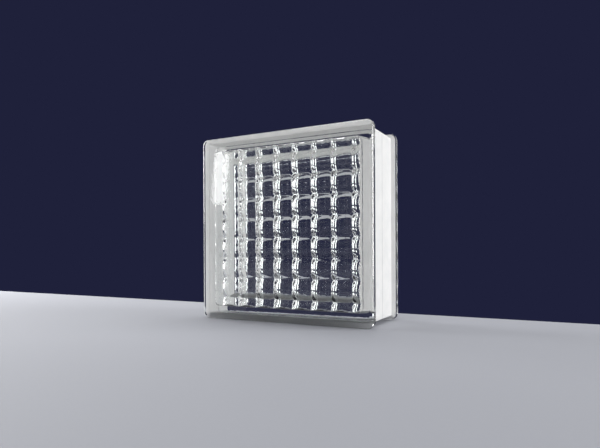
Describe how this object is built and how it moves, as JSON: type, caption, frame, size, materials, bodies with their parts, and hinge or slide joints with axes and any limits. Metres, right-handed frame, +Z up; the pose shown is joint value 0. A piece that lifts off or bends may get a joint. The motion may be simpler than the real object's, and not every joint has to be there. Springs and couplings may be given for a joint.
{
  "type": "glass block",
  "caption": "Hollow square glass building block: two pressed glass trays fused at a mid seam, with a grid of round dimples inside each face, a rounded rim and a white-coated mortar channel round the edge.",
  "frame": {"origin": "middle of the bottom edge, on the level surface that the rims stand on, in the plane of the seam", "axes": "+Z up, +Y from the front face to the rear face, +X to the right seen from the front"},
  "size_m": [0.19, 0.08, 0.19],
  "materials": {
    "glass": "clear pressed soda-lime glass",
    "coating": "matt white edge coating"
  },
  "bodies": {
    "root": {"front_half": "glass", "rear_half": "glass", "edge_coating": "coating"}
  },
  "joints": []
}
